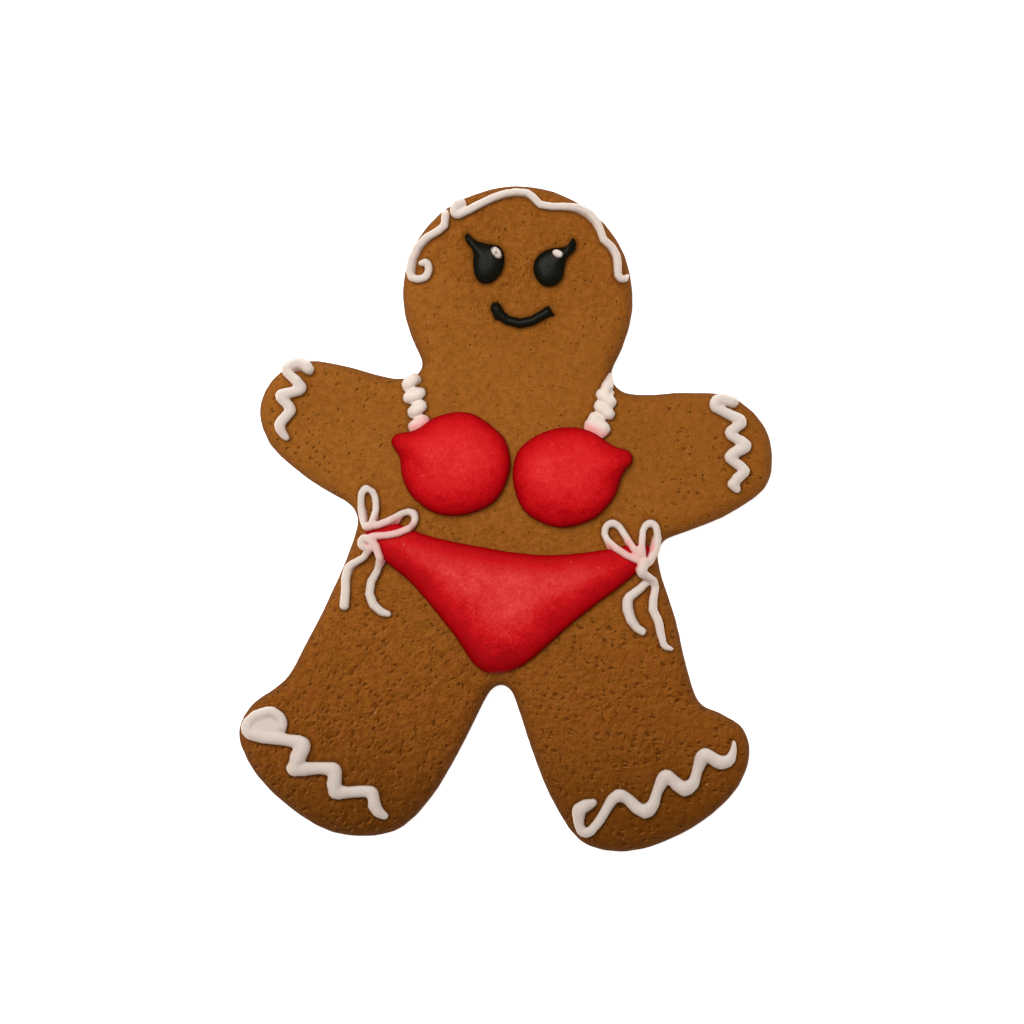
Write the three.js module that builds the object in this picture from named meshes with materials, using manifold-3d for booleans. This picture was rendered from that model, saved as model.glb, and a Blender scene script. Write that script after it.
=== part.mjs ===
import * as THREE from 'three';
import Module from 'manifold-3d';

// A gingerbread figure dressed in flooded and piped icing, lying face up on its flat underside.
// Millimetres. +Z is up, +Y runs to the head, +X runs to the right as seen from above.

// Cookie
const TALL = 130;
const THICK = 8;
const EDGE_RUN = 3.4;
const EDGE_DROP = 4.4;
const EDGE_STEPS = 4;
const SOLE_ROUND = 0.8;
const OUTLINE_TURN = 0.22;
const OUTLINE_STEP = 3.6;

// Small hollows baked into the crumb, most of them on the legs
const PITS = 10;
const PIT_LONG = [0.9, 2.2];
const PIT_WIDE = [0.45, 0.9];
const PIT_DEEP = [0.3, 0.6];

// Icing
const GAP = 0.2;
const TUCK = 0.3;
const BEAD_SIDES = 7;
const FINE_SIDES = 6;
const FINE_WIDE = 2;
const BEAD_RISE = 0.8;
const BEAD_LEAN = 0.3;
const BEAD_TURN = 0.47;
const BEAD_STEP = 2.4;
const BEND_STEP = 0.1;
const TIGHT_BEND = 1.4;
const ROUND_END = 0.5;
const CUT_END = 0.25;
const HAIR_WIDE = 1.65;
const CUFF_WIDE = 2.3;
const LEFT_FOOT_WIDE = 2.6;
const RIGHT_FOOT_WIDE = 2.4;
const STRAP_WIDE = 2.3;
const DEEP_STRAND = 0.55;
const LOOP_WIDE = 1.5;
const TAIL_WIDE = 1.75;
const MOUTH_WIDE = 1.95;
const CUP_HIGH = 4.2;
const BRIEFS_HIGH = 2.3;
const EYE_HIGH = 2;
const GLINT_HIGH = 0.5;
const PAD_HIGH = 1.1;

const CRUMB = { color: 0x99601f, roughness: 0.85 };
const RED = { color: 0xd22428, roughness: 0.5 };
const WHITE = { color: 0xeadfd6, roughness: 0.5 };
const BLACK = { color: 0x1c1a16, roughness: 0.4 };

// Edge of the cookie, clockwise from the crown of the head
const OUTLINE = [
  [1.8, 65.2], [9.2, 64.1], [17.9, 59.3], [23.4, 51], [24.8, 41.3], [23.3, 34.9], [21.6, 31.2],
  [20.5, 28.8], [21, 26.5], [23.1, 24.8], [27, 24.4], [34.6, 24.8],
  [44.4, 23.9], [51.3, 16.9], [51.3, 7.2], [43.5, 1], [34.2, -2.7],
  [30.9, -4], [29.7, -6], [29.6, -8.3], [30.2, -10.7], [33.1, -19.5], [35.9, -31.2],
  [38, -36.1], [42.4, -38.2], [46.3, -40.8], [47.8, -45.5], [45.3, -52.5], [38, -59.3], [29.1, -63.7],
  [21.5, -65], [14.6, -62.9], [9, -54.8], [5.3, -45.6], [2.3, -36.4], [1, -33.3], [-0.9, -32.3],
  [-2.9, -33.2], [-4.6, -36.2], [-8.7, -44.4],
  [-13.7, -53.1], [-20.4, -60.3], [-27.6, -62], [-34.9, -60.8], [-43.3, -55.5], [-50, -48.2],
  [-52.3, -41.5], [-49.7, -36.1], [-46, -33.6], [-42.8, -31], [-39, -24], [-34.5, -15.1],
  [-30.5, -5.9], [-28.9, -1], [-29.3, 1.7], [-31.2, 3.5], [-34.4, 5.2], [-39.1, 8.3], [-46.4, 15],
  [-48.1, 22], [-44.7, 28.3], [-38.5, 31], [-31, 29.9], [-21.4, 27.5],
  [-17.5, 28.2], [-16.2, 30.3], [-17.4, 33.4], [-19, 37.2], [-20.2, 43.7], [-18.2, 53.3], [-11.7, 60.9],
  [-5, 64],
];

// Flooded shapes: where they lie, and the points of their rims
const CUPS = {
  cup_left: {
    middle: [-10.2, 10.8],
    rim: [
      [-21.7, 16.6], [-22.5, 15.4], [-21.8, 13.7], [-20.7, 12.2], [-20.5, 9.6], [-19.8, 7], [-18.4, 4.5],
      [-14.1, 1.3], [-11.2, 0.7], [-8.4, 0.8], [-3.7, 2.4], [-1.5, 4.2], [0.8, 9.5], [0.7, 12.9],
      [-0.3, 15.8], [-2.4, 17.9], [-6.4, 20.6], [-9.2, 21], [-13.6, 20], [-18.2, 17.2], [-20.2, 16.9],
    ],
  },
  cup_right: {
    middle: [11.6, 8.2],
    rim: [
      [1.2, 8.5], [1.5, 11], [2.3, 13.4], [6.2, 16.5], [11.4, 18], [16.6, 17.2], [20.4, 14.6],
      [21.9, 13.9], [23.8, 13.5], [24.9, 12], [24.4, 10.6], [23, 9.4], [22.2, 7.3], [21.4, 4.8],
      [17.7, 0.5], [12.4, -1.5], [9.5, -1.5], [4.4, 0.8], [2.5, 3.3],
    ],
  },
};
const BRIEFS_MIDDLE = [-0.5, -14];
const BRIEFS = [
  [-27.8, -1.9], [-25, -0.2], [-20.3, -0.9], [-17.4, -2.4], [-5.3, -5.2], [7.8, -6.9], [19.5, -5.8],
  [25, -4.7], [28.6, -4.8], [29, -6.9], [24.8, -11.1], [14, -19.4], [2.9, -28.8], [-1.6, -30.2],
  [-5.2, -29.4], [-10.2, -22.5], [-18.7, -12.3], [-24, -7.9], [-27.4, -4.6],
];
const EYES = {
  eye_left: {
    middle: [-3.6, 49.9],
    rim: [
      [-8.1, 55.3], [-7.6, 55.9], [-7.1, 55.5], [-6.4, 54.6], [-4.5, 53.9], [-3.1, 53.6], [-1.6, 53.4],
      [-0.7, 52.5], [-0.3, 50.5], [-0.7, 48.7], [-2.3, 46.5], [-4.1, 45.9], [-5.4, 46.4], [-6.2, 48.2],
      [-6.4, 50.4], [-6.3, 51.9], [-6.8, 53], [-7.8, 54.1],
    ],
    glint: { middle: [-1.75, 52.05], long: 1.65, wide: 0.95, turn: -50 },
  },
  eye_right: {
    middle: [8.4, 48.9],
    rim: [
      [13.1, 55], [13.6, 54.1], [13.5, 52.7], [12.5, 51.6], [11.8, 50.9], [11.4, 49.3], [11, 47.3],
      [10, 45.9], [8.2, 45.3], [6.6, 46], [5.6, 47.5], [5.3, 49.2], [5.8, 50.8], [7, 52], [8.9, 52.8],
      [11.4, 53.1], [12.3, 53.6], [12.8, 54.6],
    ],
    glint: { middle: [10, 51.9], long: 1.25, wide: 0.85, turn: -36 },
  },
};

// Piped lines: middle of the bead, with its share of the full width where that is not one
const HAIR_LINE = [
  [-7.6, 61.6, 1.05], [-9, 61.4, 1.2], [-10, 60.4, 1.2], [-9.7, 59.3, 1.15], [-7.8, 60, 1.1], [-5.6, 61.1],
  [-3.4, 62.2], [-0.9, 63.2, 0.95], [1.6, 63.7, 0.9], [3.6, 63.7, 0.9], [5, 63], [5.9, 61.8], [7.2, 61.1],
  [10.3, 60.9, 0.95], [13.1, 60.8], [15.3, 60.1], [17, 58.8], [18.1, 57.1], [18.4, 55.5], [19.2, 54.1],
  [20.8, 52.7], [21.6, 51], [21.7, 49, 1.05], [21.7, 47.7], [22.6, 46.7], [23.4, 47.1, 0.8],
  [23.7, 48, 0.5],
];
const HAIR_CURL = [
  [-11.7, 60.4, 1.05], [-11.7, 58.7, 1.05], [-11.9, 57.2, 1.05], [-13.1, 56.2], [-14.8, 55.3],
  [-16.4, 53.9], [-17.7, 52], [-18.4, 49.9], [-18.6, 48.2], [-18.2, 47.1], [-17, 46.8], [-15.7, 47.2],
  [-15, 48.6], [-15.3, 49.9], [-16.2, 50.1], [-16.8, 49.3, 0.8],
];
const MOUTH = [
  [-2.1, 42.4, 1.25], [-1.8, 40.7, 1.2], [-0.3, 39.1], [2.8, 38.2], [5.3, 38.8], [7.5, 40.1], [8.8, 40.9],
];
// A drip under the mouth's round end, and the torn corners of its other end
const MOUTH_NUBS = [
  [[-2, 41.6, 1.1], [-1.85, 40, 0.8], [-1.95, 38.7, 0.25]],
  [[7.3, 40.6, 0.6], [8.5, 41.6, 0.3]],
  [[7.8, 39.9, 0.6], [9.6, 39.9, 0.3]],
];
const LEFT_HAND = [
  [-37.9, 28.1, 0.8], [-38.6, 29.4, 1.05], [-40, 30.2], [-41.7, 29.9], [-42.6, 28.9], [-41.7, 27.7, 0.9],
  [-40.1, 26.3, 1.05], [-40, 25.4, 1.05], [-41.7, 24.8], [-44, 24.1], [-42.8, 22.8, 0.95], [-41.9, 21.4],
  [-43, 20, 0.95], [-44.1, 18.5], [-43.7, 17, 0.85], [-42.2, 15.4, 0.5],
];
const RIGHT_HAND = [
  [45.2, 22.2, 0.8], [44, 22.8], [42.2, 23.3], [40.9, 23], [40.7, 22], [42.2, 21, 0.95],
  [44.4, 20.1, 0.95], [45.9, 18.9, 1.05], [44.4, 17.9, 0.95], [43.6, 16.8], [45.2, 15.7, 0.95],
  [46.7, 14.3, 1.1], [44.9, 13.3], [43.6, 12.2, 1.05], [45.2, 10.8, 0.95], [46.4, 9.5, 1.05], [45.3, 8.2],
  [44.1, 7.1, 1.05], [45.6, 5.3, 0.6],
];
const LEFT_FOOT = [
  [-43.9, -41.8, 0.85], [-43.6, -39.2, 0.85], [-45.6, -37.4, 0.85], [-48.2, -38, 0.85],
  [-50.1, -39.5, 0.85], [-50.4, -41, 0.9], [-49.5, -42, 0.9], [-46.3, -42.6, 0.9], [-42.4, -43, 0.95],
  [-39.5, -43.8, 1.2], [-40.4, -46, 1.3], [-41.5, -48.4, 1.2], [-38.7, -48.6, 1.05], [-36.1, -48.4, 0.95],
  [-33.5, -48.8, 1.2], [-33.5, -50.8, 1.2], [-33.4, -53, 1.15], [-30.6, -53.1, 0.9], [-28.4, -52.9, 0.9],
  [-26.2, -53.2, 1.1], [-25.8, -55.2, 1.1], [-25, -56.9, 0.95], [-22.8, -58.1, 0.5],
];
// What fills the loop that the left foot's line starts with
const LEFT_FOOT_PAD = { middle: [-46.9, -39.9], long: 3.4, wide: 2.2, turn: -8 };
const RIGHT_FOOT = [
  [17.9, -54.9, 0.5], [16.2, -55.5, 1.05], [14.3, -56.5, 1.25], [14.2, -58.6, 0.9], [14.7, -60.5, 0.85],
  [15.7, -61, 0.85], [17.3, -60, 0.85], [19.2, -57, 0.85], [20.8, -54.4], [22.2, -53.7, 1.15],
  [23.7, -54.4], [25.2, -56, 1.05], [27.2, -56.8, 1.35], [28.6, -55.7, 1.05], [29.5, -52.9, 0.9],
  [31.2, -50.1, 1.3], [32.7, -51.2, 1.1], [34.7, -52.4, 1.4], [36.5, -51.5, 1.05], [37.3, -48.8, 0.9],
  [38.6, -46, 1.35], [40.2, -46.7, 1.15], [41.9, -47.4, 1.2], [43.5, -46.9], [44.3, -45.3, 0.7],
  [44.4, -42.8, 0.35],
];
// Straps: the turns of a tight zigzag, the strands of it that lie on top, and where it starts or ends apart
const STRAPS = {
  strap_left: {
    onTop: 0,
    ends: [],
    turns: [
      [-16.7, 28], [-20.2, 25.5], [-15.6, 25], [-20.1, 23.4], [-15.4, 22.5], [-19.2, 20.5], [-14.9, 19.6],
      [-19.1, 17.7],
    ],
  },
  strap_right: {
    onTop: 1,
    ends: [
      [[20.5, 28.8, 0.15], [20.1, 27.2, 0.65], [19.6, 25.9, 1.1], [19.2, 24.5, 1.25]],
      [[15.2, 18.9], [20.2, 16.9]],
    ],
    turns: [
      [21.2, 24.4], [17.6, 25], [21.4, 22.2], [17.2, 22.7], [21.1, 19.9], [16.2, 20.5], [20.2, 16.9],
      [15.2, 18.9],
    ],
  },
};
// Bows: two loops, and two tails, the first of which starts in the curl of the knot
const BOWS = {
  bow_left: {
    loops: [
      [
        [-26.3, -1.1], [-25.4, 1.3], [-25.3, 3.3], [-25.8, 5.2], [-27.1, 6.1, 1.1], [-28.1, 5.2],
        [-28.2, 3.2], [-27.9, 0.8], [-27.4, -1.4],
      ],
      [
        [-28, -1.4], [-26.3, -1.4, 1.1], [-24.4, -0.9], [-22.7, -0.2], [-21, 0.8], [-19.3, 1.5],
        [-18, 1.2, 1.1], [-17.7, 0.1, 1.05], [-18.3, -1.2], [-19.8, -2.2], [-22.2, -2.9], [-24.9, -3.2],
        [-26.8, -3.2],
      ],
    ],
    tails: [
      [
        [-27, -5.9, 0.9], [-28.1, -4.8], [-27.6, -3.7], [-26.4, -4], [-25.3, -5.2], [-24.7, -6.7, 0.9],
        [-24.6, -8.3, 0.85], [-25.1, -10.1, 0.9], [-26.1, -11.7], [-26.6, -13.4, 1.05], [-26.5, -15.1, 1.1],
        [-25.7, -16.8, 1.1], [-24.3, -18], [-22.3, -18.6, 0.65],
      ],
      [
        [-26, -4.7, 0.9], [-27, -6.5, 0.9], [-27.8, -7.5, 0.85], [-29.3, -8.4, 0.9], [-30.6, -9.4],
        [-31.1, -11.1, 1.05], [-31.1, -13.4, 1.05], [-31.4, -15.4, 1.1], [-31.5, -17.7, 1.1],
      ],
    ],
  },
  bow_right: {
    loops: [
      [
        [26.5, -8.2], [24.7, -7.6], [22.6, -6.4], [20.6, -4.9], [19.4, -3.5], [19.2, -2.2], [19.8, -1],
        [20.9, -0.7, 1.1], [22, -1.3], [23.1, -2.9], [24.3, -4.9], [25.5, -6.4], [26.6, -7.4],
      ],
      [
        [26.6, -7.9], [26.4, -5.4], [26.5, -3.2], [27, -1.4], [28.1, -0.7, 1.1], [29.1, -1.2], [29.5, -2.5],
        [29.4, -4.4], [28.9, -6.4], [28.1, -8], [27, -9.1],
      ],
    ],
    tails: [
      [
        [27.4, -7.4, 1.1], [26.5, -9, 1.3], [26.5, -10.4, 1.25], [27.9, -11.1], [28.8, -12.2, 0.9],
        [29, -14.2, 0.9], [28.5, -16.6, 1.05], [28.8, -18.3, 1.05], [29.8, -20.1, 1.05], [30.1, -22],
        [30.3, -23.5, 0.95], [31, -24.8, 0.8], [32.6, -25.4, 0.5],
      ],
      [
        [28.3, -11.1], [26.8, -13], [25.1, -14.2, 1.05], [23.8, -15.4, 1.2], [23.6, -16.8, 1.3],
        [24, -18.6, 1.25], [24.8, -20.4, 1.15], [25.8, -21.4], [27.3, -22.2, 0.95],
      ],
    ],
  },
};

const wasm = await Module();
wasm.setup();
const group = new THREE.Group();

// The same drawing on every run: a small generator of even numbers from 0 to 1
let seed = 20;
function even() {
  seed = (seed * 16807) % 2147483647;
  return seed / 2147483647;
}
const between = ([low, high]) => low + (high - low) * even();

// Solids

// A closed geometry through rings of points; a ring of one point closes an end
function loft(rings) {
  const points = rings.flat();
  const faces = [];
  let first = 0;
  for (let k = 0; k + 1 < rings.length; k += 1) {
    const [a, b] = [rings[k].length, rings[k + 1].length];
    const next = first + a;
    const count = Math.max(a, b);
    for (let i = 0; i < count; i += 1) {
      const j = (i + 1) % count;
      if (a > 1) faces.push([first + i, first + j, next + (b > 1 ? j : 0)]);
      if (b > 1) faces.push([first + (a > 1 ? i : 0), next + j, next + i]);
    }
    first = next;
  }
  const flat = (ring) => ring.map((p) => new THREE.Vector2(p.x, p.y));
  const cap = (ring) => (ring.length > 1 ? THREE.ShapeUtils.triangulateShape(flat(ring), []) : []);
  const top = rings[rings.length - 1];
  const clockwise = THREE.ShapeUtils.area(flat(rings[0])) < 0;
  for (const [a, b, c] of cap(rings[0])) faces.push(clockwise ? [a, b, c] : [a, c, b]);
  for (const [a, b, c] of cap(top)) faces.push((clockwise ? [a, c, b] : [a, b, c]).map((i) => first + i));
  const geometry = new THREE.BufferGeometry().setFromPoints(points);
  geometry.setIndex(facingOut(points, faces).flat());
  return geometry;
}

function facingOut(points, faces) {
  let volume = 0;
  for (const [a, b, c] of faces) {
    volume += points[a].dot(new THREE.Vector3().crossVectors(points[b], points[c]));
  }
  return volume < 0 ? faces.map(([a, b, c]) => [a, c, b]) : faces;
}

function toManifold(geometry) {
  const vertProperties = new Float32Array(geometry.attributes.position.array);
  const triVerts = new Uint32Array(geometry.index.array);
  return new wasm.Manifold(new wasm.Mesh({ numProp: 3, vertProperties, triVerts }));
}

function fromManifold(solid) {
  const mesh = solid.getMesh();
  const geometry = new THREE.BufferGeometry();
  geometry.setAttribute('position', new THREE.BufferAttribute(new Float32Array(mesh.vertProperties), 3));
  geometry.setIndex(Array.from(mesh.triVerts));
  return geometry;
}

const fuse = (geometries) => geometries.map(toManifold).reduce((all, one) => all.add(one));

// The outer skin of a fused piece, without loose scraps or sealed hollows
function outerSkin(geometry) {
  const corners = Array.from(geometry.index.array);
  const joined = Array.from({ length: geometry.attributes.position.count }, (_, i) => i);
  const root = (i) => (joined[i] === i ? i : root(joined[i]));
  corners.forEach((corner, k) => {
    joined[root(corner)] = root(corners[k - (k % 3)]);
  });
  const sizes = new Map();
  for (const corner of corners) sizes.set(root(corner), (sizes.get(root(corner)) ?? 0) + 1);
  const [largest] = [...sizes].sort((a, b) => b[1] - a[1])[0];
  return geometry.setIndex(corners.filter((corner) => root(corner) === largest));
}

function addPiece(name, geometry, finish) {
  geometry.computeVertexNormals();
  const mesh = new THREE.Mesh(geometry, new THREE.MeshStandardMaterial(finish));
  mesh.name = name;
  group.add(mesh);
}

// Drawing: points are moved so that the cookie's box is centred, and scaled to its height

const curve = (points, closed) => new THREE.CatmullRomCurve3(
  points.map(([x, y, z = 0]) => new THREE.Vector3(x, y, z)), closed, 'centripetal');
const drawn = new THREE.Box3().setFromPoints(curve(OUTLINE, true).getSpacedPoints(900));
const drawnMiddle = drawn.getCenter(new THREE.Vector3());
const scale = TALL / (drawn.max.y - drawn.min.y);
const place = ([x, y, ...rest]) => [(x - drawnMiddle.x) * scale, (y - drawnMiddle.y) * scale, ...rest];

// Cookie

// Points of the edge, closer together where it bends, each with the direction inwards
function edgePoints() {
  const dense = curve(OUTLINE.map(place), true).getSpacedPoints(900).slice(0, -1);
  const chosen = [];
  let [turned, run] = [Infinity, 0];
  dense.forEach((point, i) => {
    const before = dense[(i + dense.length - 1) % dense.length];
    const after = dense[(i + 1) % dense.length];
    const [back, ahead] = [point.clone().sub(before), after.clone().sub(point)];
    turned += back.angleTo(ahead);
    run += back.length();
    if (turned > OUTLINE_TURN || run > OUTLINE_STEP) {
      const along = after.clone().sub(before).normalize();
      chosen.push({ point, inward: new THREE.Vector3(along.y, -along.x, 0) });
      [turned, run] = [0, 0];
    }
  });
  return chosen;
}

const edge = edgePoints();

// Height of the top at a distance in from the edge
function topAt(inset) {
  const across = THREE.MathUtils.clamp(1 - inset / EDGE_RUN, 0, 1);
  return THICK - EDGE_DROP * (1 - Math.sqrt(1 - across * across));
}

function insetAt(x, y) {
  const here = new THREE.Vector3(x, y, 0);
  const near = new THREE.Vector3();
  let best = Infinity;
  let inside = false;
  edge.forEach(({ point }, i) => {
    const next = edge[(i + 1) % edge.length].point;
    new THREE.Line3(point, next).closestPointToPoint(here, true, near);
    best = Math.min(best, near.distanceTo(here));
    if (point.y > y !== next.y > y) {
      const cross = point.x + ((next.x - point.x) * (y - point.y)) / (next.y - point.y);
      if (x < cross) inside = !inside;
    }
  });
  return inside ? best : -best;
}

const crust = (x, y) => topAt(insetAt(x, y));

function crustNormal(x, y) {
  const reach = 0.3;
  const slopeX = (crust(x + reach, y) - crust(x - reach, y)) / (2 * reach);
  const slopeY = (crust(x, y + reach) - crust(x, y - reach)) / (2 * reach);
  return new THREE.Vector3(-slopeX, -slopeY, 1).normalize();
}

function cookieBody(grow = 0) {
  const levels = [[SOLE_ROUND, 0], [0, SOLE_ROUND]];
  for (let k = 0; k <= EDGE_STEPS; k += 1) {
    const inset = EDGE_RUN * (1 - Math.cos((k / EDGE_STEPS) * (Math.PI / 2)));
    levels.push([inset, topAt(inset)]);
  }
  return loft(levels.map(([inset, z]) => edge.map(
    ({ point, inward }) => point.clone().addScaledVector(inward, inset - grow).setZ(z + grow))));
}

function pit(x, y, turn) {
  const geometry = new THREE.IcosahedronGeometry(0.5, 0);
  const [long, wide, deep] = [PIT_LONG, PIT_WIDE, PIT_DEEP].map(between);
  geometry.scale(long, wide, deep * 2);
  geometry.rotateZ(turn);
  geometry.translate(x, y, THICK);
  const corners = geometry.attributes.position;
  const points = [];
  const index = [];
  for (let i = 0; i < corners.count; i += 1) {
    const corner = new THREE.Vector3().fromBufferAttribute(corners, i);
    let at = points.findIndex((p) => p.distanceTo(corner) < 1e-4);
    if (at < 0) at = points.push(corner) - 1;
    index.push(at);
  }
  return new THREE.BufferGeometry().setFromPoints(points).setIndex(index);
}

// Flooded icing: a low dome over a shape that is seen whole from its middle

const FLOOD_RINGS = [1, 0.97, 0.9, 0.78, 0.6, 0.35];

// How a flooded dome rises from its rim at 1 to its middle at 0
const swell = (share, fullness) => 0.3 + 0.7 * (1 - share ** fullness) ** (1 / fullness);

function flood({ middle, rim, high, fullness, ground = crust, grow = 0, sink = 0 }) {
  const ring = (share, rise) => rim.map(([x, y]) => {
    const away = Math.hypot(x - middle[0], y - middle[1]);
    const reach = share * (1 + grow / away);
    const [px, py] = [middle[0] + (x - middle[0]) * reach, middle[1] + (y - middle[1]) * reach];
    return new THREE.Vector3(px, py, ground(px, py) + rise);
  });
  const low = GAP - grow - sink;
  const over = FLOOD_RINGS.map((share) => ring(share, GAP + grow + high * swell(share, fullness)));
  const base = ground(...middle);
  const bottom = [new THREE.Vector3(...middle, base + low)];
  const top = [new THREE.Vector3(...middle, base + GAP + grow + high)];
  return loft([bottom, ring(1, low), ...over, top]);
}

// Thickness of a flooded dome over a point, nothing outside its rim
function floodThickness({ middle, rim, high, fullness }, x, y) {
  const here = new THREE.Vector2(x - middle[0], y - middle[1]);
  for (let i = 0; i < rim.length; i += 1) {
    const a = new THREE.Vector2(rim[i][0] - middle[0], rim[i][1] - middle[1]);
    const next = rim[(i + 1) % rim.length];
    const b = new THREE.Vector2(next[0] - middle[0], next[1] - middle[1]);
    const whole = a.cross(b);
    const [shareA, shareB] = [here.cross(b) / whole, a.cross(here) / whole];
    if (shareA >= 0 && shareB >= 0) {
      const share = shareA + shareB;
      return share > 1 ? 0 : GAP + high * swell(share, fullness);
    }
  }
  return GAP + high;
}

function ellipseRim(middle, long, wide, turn, count) {
  return Array.from({ length: count }, (_, i) => {
    const angle = (i / count) * Math.PI * 2;
    const point = new THREE.Vector2(long * Math.cos(angle), wide * Math.sin(angle));
    point.rotateAround(new THREE.Vector2(), THREE.MathUtils.degToRad(turn));
    return [middle[0] + point.x, middle[1] + point.y];
  });
}

const splineRim = (points, count) => curve(points.map(place), true).getSpacedPoints(count).slice(0, -1)
  .map(({ x, y }) => [x, y]);

// Piped icing: a round bead cut flat where it rests, laid along the top of the cookie

function beadSection(sides) {
  const rest = Math.asin((BEAD_RISE - 0.5) / 0.5);
  const span = Math.PI + 2 * rest;
  return Array.from({ length: sides }, (_, k) => {
    const angle = -rest + (k / (sides - 1)) * span;
    return [0.5 * Math.cos(angle), 0.5 * Math.sin(angle) + BEAD_RISE - 0.5];
  });
}

// The beads along a route: one for each stretch between bends too tight to be swept at full width
function beads(route, width, { under = () => 0, tip = ROUND_END } = {}) {
  const line = curve(route.map(place).map(([x, y, share = 1]) => [x, y, share * width]), false);
  const cuts = [0, ...tightBends(line), line.getLength()];
  return cuts.slice(1).map((to, i) => bead(line, cuts[i], to, width, under, tip));
}

// A point of a line at a distance along it, with the line's heading there
function lineAt(line, at) {
  const share = THREE.MathUtils.clamp(at / line.getLength(), 0, 1);
  const tangent = line.getTangentAt(share);
  return { point: line.getPointAt(share), heading: Math.atan2(tangent.y, tangent.x) };
}

function turn(line, from, to) {
  const angle = lineAt(line, to).heading - lineAt(line, from).heading;
  return Math.atan2(Math.sin(angle), Math.cos(angle));
}

// Where a line turns by more than the tight bend within its own width
function tightBends(line) {
  const found = [];
  const length = line.getLength();
  let sharpest = { at: 0, angle: 0 };
  for (let at = BEAD_STEP / 2; at < length - BEAD_STEP / 2; at += BEND_STEP) {
    const reach = lineAt(line, at).point.z / 2;
    const angle = Math.abs(turn(line, Math.max(at - reach, 0), Math.min(at + reach, length)));
    if (angle > sharpest.angle) sharpest = { at, angle };
    if (angle < TIGHT_BEND && sharpest.angle > TIGHT_BEND) found.push(sharpest.at);
    if (angle < TIGHT_BEND) sharpest = { at, angle };
  }
  return found;
}

function bead(line, from, to, width, under, tip) {
  const length = line.getLength();
  const tipIn = lineAt(line, from).point.z * ROUND_END;
  const tipOut = lineAt(line, to).point.z * (to < length ? ROUND_END : tip);
  const start = from > 0 ? from - tipIn : 0;
  const end = to < length ? to + tipOut : length;
  const stations = [start, start + 0.25 * tipIn, start + tipIn];
  for (let at = start + tipIn; at < end - tipOut - 0.5; at += BEND_STEP) {
    const last = stations.at(-1);
    const bent = Math.abs(turn(line, last, at)) > BEAD_TURN;
    if (at - last > BEAD_STEP || (at - last > 0.3 && bent)) stations.push(at);
  }
  stations.push(end - tipOut, end - 0.25 * tipOut, end);

  const rounded = (at) => {
    const share = Math.min(1, (at - start) / tipIn, (end - at) / tipOut);
    return Math.sqrt(1 - (1 - share) ** 2);
  };
  const places = stations.map((at) => {
    const within = THREE.MathUtils.clamp(at, from, to);
    const { point, heading } = lineAt(line, within);
    point.x += (at - within) * Math.cos(heading);
    point.y += (at - within) * Math.sin(heading);
    const [before, after] = [Math.max(within - 0.5, from), Math.min(within + 0.5, to)];
    const bend = turn(line, before, after) / (after - before);
    const frame = beadFrame(point, heading);
    return { ...frame, bend, wide: point.z * rounded(at), lift: liftUnder(frame, point.z, under) };
  });
  const eased = places.map((_, i) => {
    const near = places.slice(Math.max(0, i - 1), i + 2).map(({ lift }) => lift);
    return Math.max(places[i].lift, near.reduce((sum, lift) => sum + lift) / near.length);
  });
  const section = beadSection(width < FINE_WIDE ? FINE_SIDES : BEAD_SIDES);
  const rings = places.map(({ base, normal, side, wide, bend }, i) => {
    const foot = base.clone().addScaledVector(normal, GAP).setZ(base.z + GAP + eased[i]);
    if (wide < 1e-6) return [foot];
    return section.map(([u, v]) => {
      const reach = u * bend > 0 ? Math.min(Math.abs(u * wide), 0.8 / Math.abs(bend)) : Math.abs(u * wide);
      return foot.clone().addScaledVector(side, reach * Math.sign(u)).addScaledVector(normal, v * wide);
    });
  });
  return loft(rings);
}

// Where a bead rests at one place of its line, leaning a little with the slope of the crust
function beadFrame({ x, y }, heading) {
  const normal = new THREE.Vector3(0, 0, 1).lerp(crustNormal(x, y), BEAD_LEAN).normalize();
  const ahead = new THREE.Vector3(Math.cos(heading), Math.sin(heading), 0);
  const side = new THREE.Vector3().crossVectors(normal, ahead).normalize();
  const along = new THREE.Vector3().crossVectors(side, normal);
  return { base: new THREE.Vector3(x, y, crust(x, y)), normal, side, along };
}

// How far a bead is raised to clear what lies under its width
function liftUnder({ base, normal, side, along }, width, under) {
  let most = 0;
  for (const ahead of [-0.7, -0.35, 0, 0.35, 0.7]) {
    for (const aside of [-0.5, -0.25, 0, 0.25, 0.5]) {
      const at = base.clone().addScaledVector(along, ahead * width).addScaledVector(side, aside * width);
      most = Math.max(most, crust(at.x, at.y) + under(at.x, at.y) - at.z);
    }
  }
  return most;
}

// Build

const briefs = {
  middle: place(BRIEFS_MIDDLE), rim: splineRim(BRIEFS, 52), high: BRIEFS_HIGH, fullness: 5,
};
const cups = Object.entries(CUPS).map(([name, { middle, rim }]) => [
  name, { middle: place(middle), rim: splineRim(rim, 42), high: CUP_HIGH, fullness: 2.3 },
]);
const floods = [briefs, ...cups.map(([, cup]) => cup)];

let body = toManifold(cookieBody());
for (let made = 0; made < PITS;) {
  const [x, y] = [between([-52, 52]), between([-65, 65])];
  const wanted = y < -12 ? 1 : 0.22;
  const covered = floods.some((shape) => floodThickness(shape, x, y) > 0);
  if (even() < wanted && !covered && insetAt(x, y) > EDGE_RUN + 0.6) {
    body = body.subtract(toManifold(pit(x, y, between([0.2, 1.4]))));
    made += 1;
  }
}
addPiece('cookie', fromManifold(body), CRUMB);
const clearance = toManifold(cookieBody(GAP));
const lying = (shape) => toManifold(flood({ ...shape, sink: 2 })).subtract(clearance);
addPiece('briefs', outerSkin(fromManifold(lying(briefs))), RED);
for (const [name, cup] of cups) addPiece(name, flood(cup), RED);

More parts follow.
